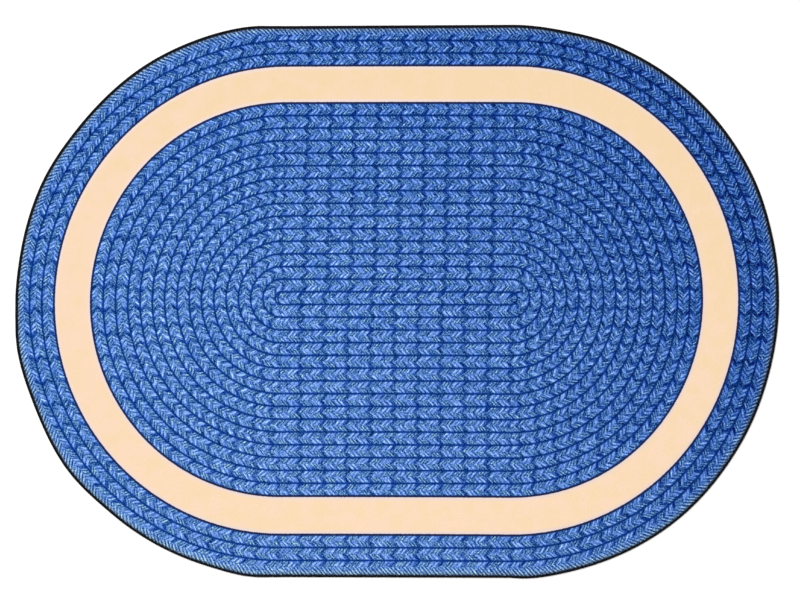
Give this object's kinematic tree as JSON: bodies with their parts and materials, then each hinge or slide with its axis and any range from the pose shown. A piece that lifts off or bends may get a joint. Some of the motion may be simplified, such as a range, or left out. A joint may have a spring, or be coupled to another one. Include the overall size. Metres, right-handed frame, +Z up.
{
  "type": "oval printed rug",
  "caption": "Flat oval tufted rug with a blue braid print, a plain cream band and a black serged edge, to lie on a floor.",
  "frame": {"origin": "centre of the underside, on the floor that the rug lies on", "axes": "+X along the long way of the oval, +Y across it, +Z up through the pile"},
  "size_m": [1.612, 1.168, 0.008],
  "materials": {
    "printed_pile": "short cut pile printed with rings of blue three-strand braid and a plain cream band, dry and matte",
    "edge_yarn": "black spun yarn overlocked closely round the edge, matte with a faint sheen on each turn"
  },
  "bodies": {
    "root": {"carpet": "printed_pile", "serged_edge": "edge_yarn"}
  },
  "joints": []
}
